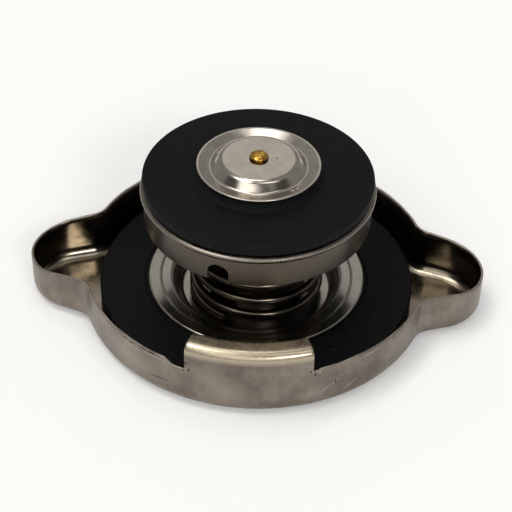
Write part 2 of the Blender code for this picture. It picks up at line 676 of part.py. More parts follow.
def main():
    clear_scene()
    pieces = make_collection("radiator_cap")
    tools = make_collection("cutters")
    zinc = make_material("zinc plated steel", (0.42, 0.40, 0.37), 1.0, 0.34)
    stainless = make_material("polished stainless", (0.62, 0.61, 0.59), 1.0, 0.16)
    spring_steel = make_material("spring steel", (0.38, 0.37, 0.35), 1.0, 0.25)
    rubber = make_material("black rubber", (0.012, 0.012, 0.013), 0.0, 0.62)
    brass = make_material("brass", (0.72, 0.47, 0.16), 1.0, 0.2)
    build_shell(zinc, pieces)
    build_seal(rubber, pieces)
    build_disc(stainless, pieces)
    build_bell(stainless, pieces)
    build_rivet(zinc, pieces)
    build_main_spring(spring_steel, pieces)
    build_plate(stainless, pieces)
    build_cup(stainless, pieces, tools)
    build_gasket(rubber, pieces)
    build_dish(stainless, pieces)
    build_stem(brass, pieces)
    build_vacuum_spring(spring_steel, pieces)
    build_retainer(brass, pieces)


main()
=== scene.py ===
"""Looks of a radiator cap that lies upside down on its crown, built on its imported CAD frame."""
from math import asin, atan2, cos, pi, radians, sin, sqrt

import bmesh
import bpy
from mathutils import Matrix, Vector


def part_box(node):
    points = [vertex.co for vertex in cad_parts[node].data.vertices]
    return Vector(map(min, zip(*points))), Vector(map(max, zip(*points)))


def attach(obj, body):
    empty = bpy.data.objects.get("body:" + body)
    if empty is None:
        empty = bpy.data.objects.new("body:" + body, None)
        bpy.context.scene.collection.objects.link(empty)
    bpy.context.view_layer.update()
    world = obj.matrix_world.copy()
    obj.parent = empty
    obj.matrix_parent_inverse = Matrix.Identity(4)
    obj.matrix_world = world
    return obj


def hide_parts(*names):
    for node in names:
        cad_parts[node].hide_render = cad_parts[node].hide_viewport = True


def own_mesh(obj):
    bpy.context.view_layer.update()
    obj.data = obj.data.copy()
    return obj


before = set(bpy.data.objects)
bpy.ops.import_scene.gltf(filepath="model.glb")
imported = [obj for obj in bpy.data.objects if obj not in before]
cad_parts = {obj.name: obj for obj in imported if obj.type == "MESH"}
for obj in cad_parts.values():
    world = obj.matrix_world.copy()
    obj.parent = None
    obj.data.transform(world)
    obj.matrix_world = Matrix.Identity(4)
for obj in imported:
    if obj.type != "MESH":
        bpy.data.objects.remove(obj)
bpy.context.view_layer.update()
MM = 0.001

# The shell, in millimetres
SHEET = 0.7
SKIRT = 31.8
RIM = 9.5
EAR_LENGTH = 9.8
EAR_DROP = 1.0
EAR_TIP_RADIUS = 8.6
EAR_CENTRE = SKIRT + EAR_LENGTH - EAR_TIP_RADIUS
EAR_FLARE = radians(19)
EAR_FILLET = 4.5
CROWN_CORNER = 2.9
PANEL_OUTER = 26.9
PANEL_INNER = 26.1
PANEL_DEPTH = 0.85
CROWN_HOLE = 1.75
TAB_WIDTH = 21.9
TAB_HALF_TURN = asin(TAB_WIDTH / 2 / SKIRT)
TAB_TURN = radians(1)
TAB_TOP = 13.75
TAB_BEND = 1.6
TAB_INNER = 28.0
TAB_CORNER = 1.5
NOTCH = (4.2, 1.0)             # width and depth beside a tab's one edge
SMALL_NOTCH = (1.6, 0.3)       # and beside its other edge
NOTCH_RAMP = 0.55              # share of a notch's width over which it deepens
NOTCHES_FROM = 20.0            # the notches lie further out along Y than this
RIM_WAVE = 0.05                # the sheared rim is this uneven
RIM_BAND = 0.9                 # the sheet thins towards its sheared edge over this height
RIM_SHARE = 0.6                # and this share of its thickness is left there

# What the crown's rivet holds, in millimetres
RING_BORE = 15.9
SQUEEZE = 0.2                  # the disc's flange presses the ring thinner by this
SQUEEZE_REACH = 20.4
RUBBER_EDGE = 0.35
DISC_SHEET = 0.4
DISC_CURL = 0.45               # the flange curls down by this at its edge
FLANGE_INNER = 17.7
STEP_OUTER = 17.35
STEP_DROP = 0.2
WELL_MOUTH = 15.5
WELL_MIDDLE = 14.4
WELL_FLOOR = 13.75
GUIDE_BORE = 8.9               # the hole in the disc and in the collar, round the bell
BELL_SHEET = 0.6
BELL_INSIDE = 8.0
RIVET_SHANK = 1.6
RIVET_HEAD = 0.55
CLINCH_RADIUS = 2.9
CLINCH_HEIGHT = 1.0

# The pressure valve, in millimetres
PLATE_SHEET = 0.6
COLLAR_WALL = 10.4
CUP_SHEET = 0.6
CUP_WALL = 20.35
CUP_BORE = 3.2
BEAD = 0.58                    # the rolled bead stands this far out of the wall
BEAD_FOOT = 1.2                # and ends this far under the cup's top
SLOT_WIDTH = 3.8
SLOT_HEIGHT = 3.6
CUTTER_PAST = 1.2              # a slot's cutter reaches this far past the wall
CLAW_LENGTH = 3.4
CLAW_RISE = 0.43               # from a claw's root to its tip
CLAW_ABOVE_SLOT = 0.12
CLAW_TURNS = [radians(-106 + 120 * k) for k in range(3)]
GASKET = 2.0                   # thickness beside the lip
GASKET_BORE = 4.6
LIP_INNER = 7.9
LIP_OUTER = 9.9
LIP_FOOT = 11.2

# The vacuum valve, in millimetres
DISH_SHEET = 0.35
DISH_PLATEAU = 6.85
DISH_VALLEY = (8.4, 0.25)      # radius, and height over the dish's lowest point
DISH_LIP = 0.35                # the flatter lip's width
DISH_RIM = 0.87                # the lip's outer edge over the dish's lowest point
STEM_RADIUS = 1.15
STEM_HOLE = 1.3
STEM_HEAD = 0.87               # height of the head
STEM_HEAD_RADIUS = 1.72
STEM_END = 0.6                 # height of the upset end

# Springs: radius at the middle of the wire and the wire, in millimetres, and the turns in all
MAIN_COIL = (11.55, 1.5, 6.67)
MAIN_COIL_START = radians(-116)
WEAK_COIL = (3.95, 0.5, 5)
END_TURNS = 0.8                # a flat turn at each end
END_LIFT = 1.04                # height that it climbs, in wire thicknesses

MERGE = 0.0005                 # points of a piece that lie closer than this are one

# Worn marks on the skirt: angle about Z in degrees, height, half length and half width in
# millimetres, and slope in degrees
SKIRT_NICKS = [
    (-131.9, 9.15, 0.55, 0.13, 4), (-128.7, 9.1, 0.7, 0.12, -3), (-124.0, 9.4, 0.95, 0.16, 5),
    (-120.6, 9.35, 0.9, 0.15, 8), (-108.6, 10.0, 0.16, 0.34, 10), (-107.6, 8.6, 0.14, 0.42, -12),
    (-109.6, 8.2, 0.22, 0.2, 0), (-69.8, 9.3, 0.16, 0.34, 8), (-68.3, 8.4, 0.2, 0.22, 0),
    (-61.3, 5.6, 0.12, 0.55, 6), (-118.0, 4.3, 1.9, 0.1, 2), (61.0, 8.9, 0.6, 0.14, 4),
    (74.0, 6.0, 0.13, 0.4, 9), (128.0, 5.2, 1.1, 0.1, -7), (-38.0, 8.9, 0.6, 0.12, -4),
]
SKIRT_SCUFFS = [
    (-63.4, 4.9, 2.6, 0.2, 34), (-56.0, 3.6, 2.2, 0.16, 28), (-120.0, 8.7, 2.6, 0.22, 2),
    (-128.0, 8.3, 2.2, 0.2, -2), (-66.8, 8.9, 0.5, 0.5, 0), (-48.0, 8.8, 2.4, 0.2, 3),
    (100.0, 4.6, 1.4, 0.4, 24), (47.0, 8.7, 2.6, 0.2, -3), (118.0, 8.9, 1.9, 0.2, 3),
]
# Broad darker and lighter patches there, with soft outlines: the darker ones at -52 and -78 degrees
# are painted shade and the lighter ones at -130 and -96 degrees painted reflection; those at the
# back are stains and rubbed places
SKIRT_STAINS_AND_PAINTED_SHADE = [(-52.0, 5.0, 8.0, 4.5, 0), (-78.0, 2.0, 5.0, 1.6, 0), (20.0, 4.0, 5.0, 3.0, 0),
                (140.0, 5.0, 6.0, 3.0, 0)]
SKIRT_RUBS_AND_PAINTED_REFLECTION = [(-130.0, 5.5, 9.0, 4.0, 0), (-96.0, 5.0, 3.5, 3.0, 0), (84.0, 5.0, 6.0, 3.0, 0)]
# Nicks on the vacuum valve's dish: angle, radius, half length and half width, and slope
DISH_NICKS = [(104.6, 7.7, 0.14, 0.42, 0), (3.3, 3.15, 0.3, 0.18, 20), (-44.8, 9.1, 0.5, 0.2, 40)]
# Painted highlights on the dish: small near-white patches, in the same columns
PAINTED_DISH_GLINTS = [(-47.5, 9.3, 0.42, 0.3, 30), (-41.5, 9.5, 0.3, 0.2, 30)]
DISH_HEIGHT = 30.5             # about the middle of the dish's own height
MARK_DEPTH = (0.9, 1.6)        # a mark's half depth on the skirt, and on the sloping dish
RAGGED = 0.55                  # a mark's outline wanders by up to this share of its size
RUBBED = (11.4, 12.6)          # the tabs are rubbed from the first height up, fully from the second
PAINTED_SHADE_BELOW = 1.0              # painted shade: the cup's wall is painted darker from this far under its top, for the dark it reflects under the bead
PAINTED_SHADE_FADE = 0.4
HEAD_SHADE_LINE = (0.3, 0.55)         # painted shade on the stem's head fades out between these heights, over the head's foot
LINE_STEP = 0.6                # between the turning lines of the stainless sheet

# Light: the room's own brightness, and the soft lamps and dark curtains in it, each with the
# direction of its middle, its half width along each axis, and how much it adds to the room
ROOM_LIGHT = 0.29
LAMPS = [
    ((-0.34, -0.06, 0.92), (0.21, 0.28, 1.0), 6.0),      # a softbox over the object's left
    ((-0.35, -0.6, 0.74), (0.4, 0.3, 0.14), 2.1),        # a window behind the camera
    ((-0.05, -0.88, 0.42), (0.55, 0.3, 0.22), 1.4),      # the sill under that window
    ((0.37, -0.73, 0.56), (0.17, 0.15, 0.1), 14.0),      # a lamp beside the camera
    ((0.3, -0.2, 0.93), (0.36, 0.14, 0.3), 1.9),         # a strip lamp high on the right
    ((-0.07, 0.37, 0.92), (0.15, 0.17, 0.3), 3.2),       # a small lamp above the back
    ((-0.04, 0.77, 0.64), (0.24, 0.24, 0.24), 0.40),     # a pale panel behind the object
    ((-0.75, -0.25, 0.62), (0.3, 0.35, 0.3), -0.22),     # a dark curtain on the left
    ((0.72, -0.28, 0.62), (0.3, 0.35, 0.3), -0.22),      # another on the right
    ((0.27, -0.58, 0.76), (0.16, 0.15, 0.13), -0.24),    # the camera's own dark shape
]
LAMP_FADE = (1.25, 0.45)       # in shares of its half width, a lamp ends and is full at these
TABLE_LIFT = 0.14              # whiter where the camera or a mirror sees the table
TABLE_REACH = 18.0             # in metres, so that a low view sees its edge far away

# The photograph's viewing angle: 275 mm away, 40 degrees above the table, a long lens
CAMERA_PLACE = (9.79, -212.005, 184.944)
CAMERA_TARGET = (-0.11, -0.005, 9.20)
CAMERA_ROLL = radians(1.334)
LENS = 105.47


def linear(code):
    """A colour written as sRGB hex, in Blender's linear values."""
    channels = [int(code[k:k + 2], 16) / 255 for k in (1, 3, 5)]
    return tuple(c / 12.92 if c < 0.04045 else ((c + 0.055) / 1.055) ** 2.4 for c in channels)


def rgba(tone):
    """A hex colour or a plain grey as the four values that a socket takes."""
    return (*linear(tone), 1.0) if isinstance(tone, str) else (tone, tone, tone, 1.0)


def connect(tree, node, inputs):
    """Sets a node's inputs, each to a value or from another node's first output in use."""
    for key, value in inputs.items():
        if isinstance(value, bpy.types.Node):
            value = next(socket for socket in value.outputs if socket.enabled)
        if isinstance(value, bpy.types.NodeSocket):
            tree.links.new(value, node.inputs[key])
        else:
            node.inputs[key].default_value = value


def add_node(tree, kind, settings=None, inputs=None):
    """A node with its settings, a colour ramp's stops among them, and its inputs."""
    node = tree.nodes.new(kind)
    for key, value in (settings or {}).items():
        if key == "stops":
            while len(node.color_ramp.elements) < len(value):
                node.color_ramp.elements.new(1.0)
            for stop, (place, tone) in zip(node.color_ramp.elements, value):
                stop.position = place
                stop.color = rgba(tone)
        else:
            setattr(node, key, value)
    connect(tree, node, inputs or {})
    return node


def new_material(name, metallic):
    """A material, its node tree, its shader and the object coordinates."""
    material = bpy.data.materials.new(name)
    material.use_nodes = True
    tree = material.node_tree
    shader = tree.nodes["Principled BSDF"]
    shader.inputs["Metallic"].default_value = metallic
    place = add_node(tree, "ShaderNodeTexCoord").outputs["Object"]
    return material, tree, shader, place


def worn_marks(tree, place, marks, on_wall, grain=0.35, edge=(1.1, 0.6)):
    """A mask of ragged marks, on the upright skirt or on the dish that looks up. The raggedness
    is as wide as grain, in millimetres, and a mark fades in between the two shares of its size
    that edge gives."""
    ragged = add_node(tree, "ShaderNodeTexNoise", None,
                      {"Vector": place, "Scale": 1 / (grain * MM), "Detail": 2.0})
    shaken = add_node(tree, "ShaderNodeMapRange", None,
                      {"Value": ragged, "To Min": -RAGGED, "To Max": RAGGED})
    mask = None
    for angle, offset, half_length, half_width, slope in marks:
        turn = radians(angle)
        if on_wall:
            centre = (SKIRT * cos(turn), SKIRT * sin(turn), offset)
            tilt = (radians(slope), 0.0, turn)
            shape = (MARK_DEPTH[0], half_length, half_width)
        else:
            centre = (offset * cos(turn), offset * sin(turn), DISH_HEIGHT)
            tilt = (0.0, 0.0, turn + radians(slope))
            shape = (half_width, half_length, MARK_DEPTH[1])
        spot = add_node(tree, "ShaderNodeMapping", {"vector_type": "TEXTURE"},
                        {"Vector": place, "Location": [c * MM for c in centre], "Rotation": tilt,
                         "Scale": [s * MM for s in shape]})
        reach = add_node(tree, "ShaderNodeVectorMath", {"operation": "LENGTH"}, {0: spot})
        uneven = add_node(tree, "ShaderNodeMath", None, {0: reach, 1: shaken})
        inside = add_node(tree, "ShaderNodeMapRange", None,
                          {"Value": uneven, "From Min": edge[0], "From Max": edge[1]})
        if mask is None:
            mask = inside
        else:
            mask = add_node(tree, "ShaderNodeMath", {"operation": "MAXIMUM"}, {0: mask, 1: inside})
    return mask


def dull_nickel_on_steel(name, dark, mid, light, roughness, fine=0.01, uneven=0.05, worn=False):
    """Nickel plated pressed steel gone dull: a soft grey brown sheen with cloudy stains about
    6 mm wide, upright draw lines a millimetre apart and specks of rust. Its rubbed grain is fine
    deep, and its broader swells uneven, both in millimetres. A worn one also has darker and
    lighter patches, some of them stains and rubbed places and some painted shade and painted
    reflection, scuffs, nicks, and tabs rubbed bright by the neck."""
    material, tree, shader, place = new_material(name, 1.0)
    cloud = add_node(tree, "ShaderNodeTexNoise", None,
                     {"Vector": place, "Scale": 1 / (6 * MM), "Detail": 5.0, "Roughness": 0.6})
    upright = add_node(tree, "ShaderNodeMapping", None,
                       {"Vector": place, "Scale": (1.0, 1.0, 0.11)})
    draw = add_node(tree, "ShaderNodeTexNoise", None,
                    {"Vector": upright, "Scale": 1 / (0.9 * MM), "Detail": 3.0, "Roughness": 0.6})
    level = add_node(tree, "ShaderNodeMapping", None, {"Vector": place, "Scale": (1.0, 1.0, 3.5)})
    rubs = add_node(tree, "ShaderNodeTexNoise", None,
                    {"Vector": level, "Scale": 1 / (1.6 * MM), "Detail": 5.0, "Roughness": 0.7})
    specks = add_node(tree, "ShaderNodeTexNoise", None,
                      {"Vector": place, "Scale": 1 / (0.45 * MM), "Detail": 2.0})
    stain = add_node(tree, "ShaderNodeValToRGB",
                     {"stops": [(0.30, dark), (0.5, mid), (0.70, light)]}, {"Fac": cloud})
    lines = add_node(tree, "ShaderNodeValToRGB", {"stops": [(0.3, 0.9), (0.62, 1.0)]},
                     {"Fac": draw})
    tone = add_node(tree, "ShaderNodeMix", {"data_type": "RGBA", "blend_type": "MULTIPLY"},
                    {"Factor": 1.0, "A": stain, "B": lines})
    rusty = add_node(tree, "ShaderNodeMapRange", None,
                     {"Value": specks, "From Min": 0.70, "From Max": 0.78, "To Max": 0.5})
    tone = add_node(tree, "ShaderNodeMix", {"data_type": "RGBA"},
                    {"Factor": rusty, "A": tone, "B": rgba("#3B332B")})
    rough = add_node(tree, "ShaderNodeMapRange", None,
                     {"Value": rubs, "From Min": 0.3, "From Max": 0.7, "To Min": roughness - 0.06,
                      "To Max": roughness + 0.1})
    swell = add_node(tree, "ShaderNodeTexNoise", None,
                     {"Vector": place, "Scale": 1 / (5 * MM), "Detail": 1.0, "Roughness": 0.4})
    normal = add_node(tree, "ShaderNodeBump", None, {"Distance": uneven * MM, "Height": swell})
    normal = add_node(tree, "ShaderNodeBump", None,
                      {"Distance": fine * MM, "Height": rubs, "Normal": normal})
    if worn:
        height = add_node(tree, "ShaderNodeSeparateXYZ", None, {0: place}).outputs["Z"]
        rubbed = add_node(tree, "ShaderNodeMapRange", None,
                          {"Value": height, "From Min": RUBBED[0] * MM,
                           "From Max": RUBBED[1] * MM, "To Max": 0.85})
        tone = add_node(tree, "ShaderNodeMix", {"data_type": "RGBA"},
                        {"Factor": rubbed, "A": tone, "B": rgba("#BEB29A")})
        rough = add_node(tree, "ShaderNodeMath", {"operation": "MULTIPLY_ADD"},
                         {0: rubbed, 1: -0.1, 2: rough})
        # darker and lighter patches: stains and rubbed places at the back, painted shade and
        # painted reflection on the front
        for patches, share, patch_tone in ((SKIRT_STAINS_AND_PAINTED_SHADE, 0.55, "#5F564E"),
                                           (SKIRT_RUBS_AND_PAINTED_REFLECTION, 0.45, "#A89E92")):
            patch = worn_marks(tree, place, patches, True, grain=3.0, edge=(1.3, 0.1))
            patch = add_node(tree, "ShaderNodeMath", {"operation": "MULTIPLY"},
                             {0: patch, 1: share})
            tone = add_node(tree, "ShaderNodeMix", {"data_type": "RGBA"},
                            {"Factor": patch, "A": tone, "B": rgba(patch_tone)})
        scuffs = worn_marks(tree, place, SKIRT_SCUFFS, True)
        nicks = worn_marks(tree, place, SKIRT_NICKS, True)
        faint = add_node(tree, "ShaderNodeMath", {"operation": "MULTIPLY"}, {0: scuffs, 1: 0.4})
        tone = add_node(tree, "ShaderNodeMix", {"data_type": "RGBA"},
                        {"Factor": faint, "A": tone, "B": rgba("#B5ADA0")})
        tone = add_node(tree, "ShaderNodeMix", {"data_type": "RGBA"},
                        {"Factor": nicks, "A": tone, "B": rgba("#2A241F")})
        rough = add_node(tree, "ShaderNodeMath", {"operation": "MULTIPLY_ADD"},
                         {0: nicks, 1: 0.3, 2: rough})
        normal = add_node(tree, "ShaderNodeBump", {"invert": True},
                          {"Distance": 0.06 * MM, "Height": nicks, "Normal": normal})
    connect(tree, shader, {"Base Color": tone, "Roughness": rough, "Normal": normal})
    return material


def polished_stainless(name, dark, light, roughness, wave, lines_run="RINGS", line_depth=0.0015,
                       painted_shade_from=0.0, worn=False):
    """Thin bright stainless sheet: clear reflections, a little uneven from forming, with turning
    lines round its axis, or with level ones up its wall, drawn a few times coarser than real
    ones so that they show. The unevenness is wave deep, and the lines line_depth, both in
    millimetres. Below a given height it is painted darker: painted shade for the dark that the
    cup's wall reflects under its bead."""
    material, tree, shader, place = new_material(name, 1.0)
    cloud = add_node(tree, "ShaderNodeTexNoise", None,
                     {"Vector": place, "Scale": 1 / (3 * MM), "Detail": 4.0, "Roughness": 0.6})
    swell = add_node(tree, "ShaderNodeTexNoise", None,
                     {"Vector": place, "Scale": 1 / (3.5 * MM), "Detail": 1.0, "Roughness": 0.4})
    lines = add_node(tree, "ShaderNodeTexWave",
                     {"wave_type": lines_run, "rings_direction": "Z", "bands_direction": "Z"},
                     {"Vector": place, "Scale": pi / 10 / (LINE_STEP * MM), "Distortion": 0.15,
                      "Detail": 2.0, "Detail Scale": 0.5, "Detail Roughness": 0.6})
    tone = add_node(tree, "ShaderNodeValToRGB", {"stops": [(0.32, dark), (0.68, light)]},
                    {"Fac": cloud})
    rough = add_node(tree, "ShaderNodeMapRange", None,
                     {"Value": cloud, "From Min": 0.3, "From Max": 0.7, "To Min": roughness - 0.02,
                      "To Max": roughness + 0.05})
    normal = add_node(tree, "ShaderNodeBump", None, {"Distance": wave * MM, "Height": swell})
    normal = add_node(tree, "ShaderNodeBump", None,
                      {"Distance": line_depth * MM, "Height": lines, "Normal": normal})
    # painted shade: below the given height the tone is mixed towards a dark brown grey
    if painted_shade_from:
        height = add_node(tree, "ShaderNodeSeparateXYZ", None, {0: place}).outputs["Z"]
        painted_shade = add_node(tree, "ShaderNodeMapRange", None,
                         {"Value": height, "From Min": painted_shade_from,
                          "From Max": painted_shade_from - PAINTED_SHADE_FADE * MM, "To Max": 0.75})
        tone = add_node(tree, "ShaderNodeMix", {"data_type": "RGBA"},
                        {"Factor": painted_shade, "A": tone, "B": rgba("#453E38")})
    if worn:
        nicks = worn_marks(tree, place, DISH_NICKS, False)
        # painted highlights: these glint patches are mixed to near white on the dish
        painted_glints = worn_marks(tree, place, PAINTED_DISH_GLINTS, False)
        tone = add_node(tree, "ShaderNodeMix", {"data_type": "RGBA"},
                        {"Factor": nicks, "A": tone, "B": rgba("#4A423A")})
        tone = add_node(tree, "ShaderNodeMix", {"data_type": "RGBA"},
                        {"Factor": painted_glints, "A": tone, "B": rgba("#F4F2EC")})
        normal = add_node(tree, "ShaderNodeBump", {"invert": True},
                          {"Distance": 0.05 * MM, "Height": nicks, "Normal": normal})
        normal = add_node(tree, "ShaderNodeBump", None,
                          {"Distance": 0.12 * MM, "Height": painted_glints, "Normal": normal})
    connect(tree, shader, {"Base Color": tone, "Roughness": rough, "Normal": normal})
    return material


def moulded_black_rubber(name, dark, light, roughness):
    """Moulded nitrile rubber: a matt black skin with a fine grain, lint and a trace of dust."""
    material, tree, shader, place = new_material(name, 0.0)
    dust = add_node(tree, "ShaderNodeTexNoise", None,
                    {"Vector": place, "Scale": 1 / (5 * MM), "Detail": 6.0, "Roughness": 0.65})
    lint = add_node(tree, "ShaderNodeTexNoise", None,
                    {"Vector": place, "Scale": 1 / (0.5 * MM), "Detail": 1.0})
    grain = add_node(tree, "ShaderNodeTexNoise", None,
                     {"Vector": place, "Scale": 1 / (0.3 * MM), "Detail": 2.0})
    tone = add_node(tree, "ShaderNodeValToRGB", {"stops": [(0.35, dark), (0.7, light)]},
                    {"Fac": dust})
    flecks = add_node(tree, "ShaderNodeMapRange", None,
                      {"Value": lint, "From Min": 0.76, "From Max": 0.8, "To Max": 0.35})
    tone = add_node(tree, "ShaderNodeMix", {"data_type": "RGBA"},
                    {"Factor": flecks, "A": tone, "B": rgba("#6F6B66")})
    rough = add_node(tree, "ShaderNodeMapRange", None,
                     {"Value": dust, "From Min": 0.3, "From Max": 0.7, "To Min": roughness - 0.05,
                      "To Max": roughness + 0.07})
    normal = add_node(tree, "ShaderNodeBump", None, {"Distance": 0.01 * MM, "Height": grain})
    connect(tree, shader, {"Base Color": tone, "Roughness": rough, "Normal": normal,
                           "Specular IOR Level": 0.12})
    return material


def clinched_brass(name, head_foot):
    """Bright turned brass, a little uneven where the stem's head was clinched, and painted dark
    brown below the head's shoulder: painted shade on the head's lower side."""
    material, tree, shader, place = new_material(name, 1.0)
    tarnish = add_node(tree, "ShaderNodeTexNoise", None,
                       {"Vector": place, "Scale": 1 / (0.8 * MM), "Detail": 3.0, "Roughness": 0.6})
    tone = add_node(tree, "ShaderNodeValToRGB", {"stops": [(0.35, "#A9752B"), (0.62, "#E4B85C")]},
                    {"Fac": tarnish})
    height = add_node(tree, "ShaderNodeSeparateXYZ", None, {0: place}).outputs["Z"]
    # painted shade: dark brown on the head's lower side and on the stem below it
    head_shade = add_node(tree, "ShaderNodeMapRange", None,
                    {"Value": height, "From Min": head_foot + HEAD_SHADE_LINE[1] * MM,
                     "From Max": head_foot + HEAD_SHADE_LINE[0] * MM, "To Max": 0.92})
    tone = add_node(tree, "ShaderNodeMix", {"data_type": "RGBA"},
                    {"Factor": head_shade, "A": tone, "B": rgba("#3E2611")})
    normal = add_node(tree, "ShaderNodeBump", None, {"Distance": 0.06 * MM, "Height": tarnish})
    connect(tree, shader, {"Base Color": tone, "Roughness": 0.24, "Normal": normal})
    return material


def oiled_spring_wire(name):
    """Drawn spring wire: smooth dark steel, whose oily film gives each turn one narrow light."""
    material, tree, shader, place = new_material(name, 1.0)
    film = add_node(tree, "ShaderNodeTexNoise", None,
                    {"Vector": place, "Scale": 1 / (2.5 * MM), "Detail": 4.0, "Roughness": 0.6})
    tone = add_node(tree, "ShaderNodeValToRGB", {"stops": [(0.3, "#4C453D"), (0.7, "#6E665C")]},
                    {"Fac": film})
    normal = add_node(tree, "ShaderNodeBump", None, {"Distance": 0.01 * MM, "Height": film})
    connect(tree, shader, {"Base Color": tone, "Roughness": 0.2, "Normal": normal})
    return material


def finish_piece(bm, name, materials, body, node, smooth=40):
    """Turns a bmesh in millimetres into a piece that rides on a body and stands for a CAD node."""
    bmesh.ops.remove_doubles(bm, verts=bm.verts, dist=MERGE)
    bmesh.ops.recalc_face_normals(bm, faces=bm.faces)
    bmesh.ops.scale(bm, vec=(MM, MM, MM), verts=bm.verts)
    piece = loose_object(bm, name)
    piece.data.shade_smooth()
    piece.data.set_sharp_from_angle(angle=radians(smooth))
    for material in materials:
        piece.data.materials.append(material)
    piece.modifiers.new("wide faces lead the normals", "WEIGHTED_NORMAL").keep_sharp = True
    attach(piece, body)
    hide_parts(node)
    return piece


def loose_object(bm, name):
    """An object made from a bmesh, which is used up."""
    mesh = bpy.data.meshes.new(name)
    bm.to_mesh(mesh)
    bm.free()
    made = bpy.data.objects.new(name, mesh)
    bpy.context.scene.collection.objects.link(made)
    return made


def face_up(piece):
    """Turns an open skin over if its faces look down."""
    if sum(face.normal.z * face.area for face in piece.data.polygons) < 0:
        piece.data.flip_normals()


def open_edges(mesh):
    """The vertex pairs of a mesh's edges that have a face on one side only."""
    uses = {}
    for face in mesh.polygons:
        for pair in face.edge_keys:
            uses[pair] = uses.get(pair, 0) + 1
    return [pair for pair, count in uses.items() if count == 1]


def thicken(piece, thickness, edge):
    """Gives an outer skin its sheet thickness, inwards, and softens its edges. The modifier that
    lets wide faces lead the normals goes behind both."""
    wall = piece.modifiers.new("sheet", "SOLIDIFY")
    wall.thickness = thickness * MM
    wall.offset = -1.0
    wall.use_even_offset = True
    wall.use_quality_normals = True
    round_edge = piece.modifiers.new("soft edges", "BEVEL")
    round_edge.width = edge * MM
    round_edge.segments = 2
    round_edge.limit_method = "ANGLE"
    round_edge.angle_limit = radians(50)
    piece.modifiers.move(0, 2)
    return wall


def profile_wire(bm, points, closed):
    """A profile in the XZ plane. Each point is (radius, height) or (radius, height, rounding)."""
    verts = [bm.verts.new((p[0], 0.0, p[1])) for p in points]
    rounds = [(vert, p[2]) for vert, p in zip(verts, points) if len(p) > 2]
    bm.faces.new(verts)
    ends = (verts[0].co.copy(), verts[-1].co.copy())
    for vert, rounding in rounds:
        bmesh.ops.bevel(bm, geom=[vert], offset=rounding, segments=3 if rounding < 0.3 else 6,
                        profile=0.5, affect="VERTICES", material=-1)
    bmesh.ops.delete(bm, geom=list(bm.faces), context="FACES_ONLY")
    if closed:
        return
    for edge in list(bm.edges):
        if all(min((vert.co - end).length for end in ends) < 1e-6 for vert in edge.verts):
            bm.edges.remove(edge)


def lathe(points, closed=True, steps=180):
    """A profile spun once about the Z axis."""
    bm = bmesh.new()
    profile_wire(bm, points, closed)
    bmesh.ops.spin(bm, geom=bm.verts[:] + bm.edges[:], cent=(0, 0, 0), axis=(0, 0, 1),
                   dvec=(0, 0, 0), angle=2 * pi, steps=steps, use_merge=True, use_duplicate=False)
    return bm


def round_size(node):
    """A round CAD node's outer radius, foot and top, in millimetres."""
    low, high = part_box(node)
    return high.x / MM, low.z / MM, high.z / MM


# The shell: its outline is swept corner by corner, then pulled up, bent and thickened.


def sweep_vertex(bm, vert, centre, angle, steps):
    """Carries one vertex round a centre, leaving edges behind it. Returns the last vertex."""
    swept = bmesh.ops.spin(bm, geom=[vert], cent=(*centre, 0.0), axis=(0, 0, 1), dvec=(0, 0, 0),
                           angle=angle, steps=steps, use_merge=False, use_duplicate=False)
    return [item for item in swept["geom_last"] if isinstance(item, bmesh.types.BMVert)][0]


def step_vertex(bm, vert, run_x, run_y):
    """A straight edge from a vertex. Returns its new end."""
    end = bm.verts.new((vert.co.x + run_x, vert.co.y + run_y, vert.co.z))
    bm.edges.new((vert, end))
    return end


def ear_root():
    """Length of an ear's straight flank, and the centre of the fillet at its root."""
    turn = pi / 2 - EAR_FLARE
    start = Vector((EAR_CENTRE + EAR_TIP_RADIUS * cos(turn), EAR_TIP_RADIUS * sin(turn)))
    along = Vector((-cos(EAR_FLARE), sin(EAR_FLARE)))
    outward = Vector((sin(EAR_FLARE), cos(EAR_FLARE)))
    base = start + outward * EAR_FILLET
    reach = SKIRT + EAR_FILLET
    half = base.dot(along)
    run = -half - sqrt(half * half - base.dot(base) + reach * reach)
    return run, base + along * run


def shell_outline(bm):
    """Half of the outline, from one ear's tip to the other's, then a copy turned by half a turn."""
    run, fillet = ear_root()
    root = atan2(fillet.y, fillet.x)
    bend = pi / 2 - EAR_FLARE - root
    tab_start = pi / 2 + TAB_TURN - TAB_HALF_TURN
    run_x = -cos(EAR_FLARE) * run
    run_y = sin(EAR_FLARE) * run
    vert = bm.verts.new((EAR_CENTRE + EAR_TIP_RADIUS, 0.0, RIM))
    vert = sweep_vertex(bm, vert, (EAR_CENTRE, 0.0), pi / 2 - EAR_FLARE, 24)
    vert = step_vertex(bm, vert, run_x, run_y)
    vert = sweep_vertex(bm, vert, fillet, -bend, 12)
    vert = sweep_vertex(bm, vert, (0, 0), tab_start - root, 60)
    vert = sweep_vertex(bm, vert, (0, 0), 2 * TAB_HALF_TURN, 48)
    vert = sweep_vertex(bm, vert, (0, 0), pi - root - tab_start - 2 * TAB_HALF_TURN, 60)
    vert = sweep_vertex(bm, vert, (-fillet.x, fillet.y), -bend, 12)
    vert = step_vertex(bm, vert, run_x, -run_y)
    sweep_vertex(bm, vert, (-EAR_CENTRE, 0.0), pi / 2 - EAR_FLARE, 24)
    copy = bmesh.ops.duplicate(bm, geom=bm.verts[:] + bm.edges[:])["geom"]
    moved = [item for item in copy if isinstance(item, bmesh.types.BMVert)]
    bmesh.ops.rotate(bm, verts=moved, cent=(0, 0, 0), matrix=Matrix.Rotation(pi, 3, "Z"))
    bmesh.ops.remove_doubles(bm, verts=bm.verts, dist=0.001)


def from_tab(vert):
    """Angle from the middle of the nearest tab."""
    turn = atan2(vert.co.y, vert.co.x) - pi / 2 - TAB_TURN
    return (turn + pi / 2) % pi - pi / 2


def ease(share):
    """A smooth step from 0 to 1."""
    share = min(max(share, 0.0), 1.0)
    return share * share * (3 - 2 * share)


